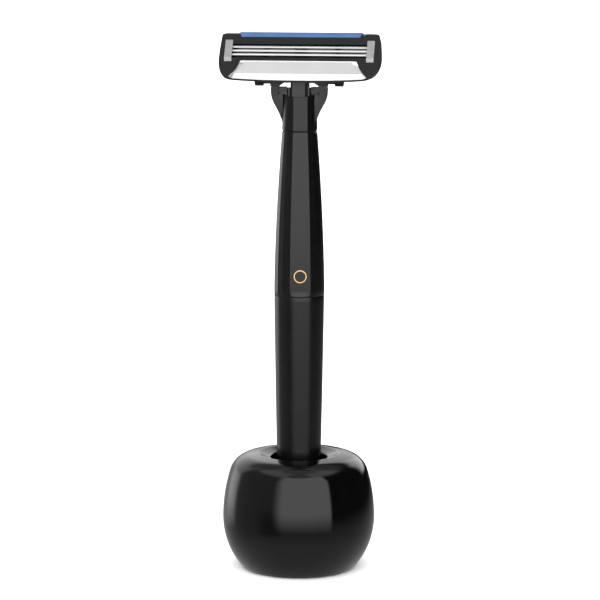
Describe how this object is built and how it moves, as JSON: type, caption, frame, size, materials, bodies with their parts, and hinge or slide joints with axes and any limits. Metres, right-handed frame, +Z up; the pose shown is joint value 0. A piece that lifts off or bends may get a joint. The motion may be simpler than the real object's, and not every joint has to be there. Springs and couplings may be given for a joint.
{
  "type": "cartridge razor",
  "caption": "Cartridge razor with a faceted two-part handle, a sprung pivoting head and a weighted ball-shaped stand that it stands in.",
  "frame": {"origin": "centre of the stand's foot, on the surface that it stands on", "axes": "+Z up along the handle, -Y the way the blades face, +X to the right seen from the front"},
  "size_m": [0.042, 0.0402, 0.1411],
  "materials": {
    "stand_gloss": "polished black lacquer",
    "ballast_iron": "as cast",
    "liner_silicone": "matt silicone",
    "base_plastic": "moulded",
    "fastener_steel": "zinc plated",
    "foot_rubber": "matt, non-slip",
    "handle_black": "satin black coating",
    "rod_steel": "turned",
    "seal_rubber": "matt",
    "inlay_gold": "satin gold plate",
    "plunger_black": "moulded, satin",
    "dock_black": "moulded",
    "frame_black": "fine moulded texture",
    "blade_steel": "ground and polished edge",
    "support_steel": "stamped",
    "clip_aluminium": "satin, fine texture",
    "strip_blue": "smooth, slightly waxy",
    "guard_silver": "pale silver-white, satin"
  },
  "bodies": {
    "stand": {"stand_shell": "stand_gloss", "stand_weight": "ballast_iron", "socket_liner": "liner_silicone", "base_plate": "base_plastic", "base_screws": "fastener_steel", "foot_pad": "foot_rubber"},
    "handle": {"lower_grip": "handle_black", "upper_grip": "handle_black", "end_plug": "handle_black", "weight_rod": "rod_steel", "joint_stud": "rod_steel", "grip_ring": "seal_rubber", "neck_ring": "seal_rubber", "inlay_ring": "inlay_gold", "yoke_neck": "handle_black", "plunger_spring": "fastener_steel"},
    "plunger": {"plunger": "plunger_black"},
    "dock": {"dock_bracket": "dock_black"},
    "cartridge": {"cartridge_frame": "frame_black", "blade_1": "blade_steel", "blade_2": "blade_steel", "blade_3": "blade_steel", "blade_support_1": "support_steel", "blade_support_2": "support_steel", "blade_support_3": "support_steel", "end_clip_left": "clip_aluminium", "end_clip_right": "clip_aluminium", "lubricating_strip": "strip_blue", "guard_bar": "guard_silver"}
  },
  "joints": [
    {"name": "razor_lift", "type": "slide", "parent": "stand", "child": "handle", "axis": [0, 0, 1], "range_m": [0, 0.045]},
    {"name": "cartridge_release", "type": "slide", "parent": "handle", "child": "dock", "axis": [0, 0, 1], "range_m": [0, 0.008]},
    {"name": "cartridge_pivot", "type": "hinge", "parent": "dock", "child": "cartridge", "pos_m": [0, -0.0009, 0.1286], "axis": [-1, 0, 0], "range_deg": [0, 40], "stiffness_Nm_per_rad": 0.004, "springref_deg": -28.65},
    {"name": "plunger_slide", "type": "slide", "parent": "handle", "child": "plunger", "axis": [0, 0, -1], "range_m": [0, 0.0018], "deforming": ["plunger_spring"]}
  ],
  "couplings": [
    {"joint": "plunger_slide", "follows": "cartridge_pivot", "m_per_rad": 0.00245}
  ]
}
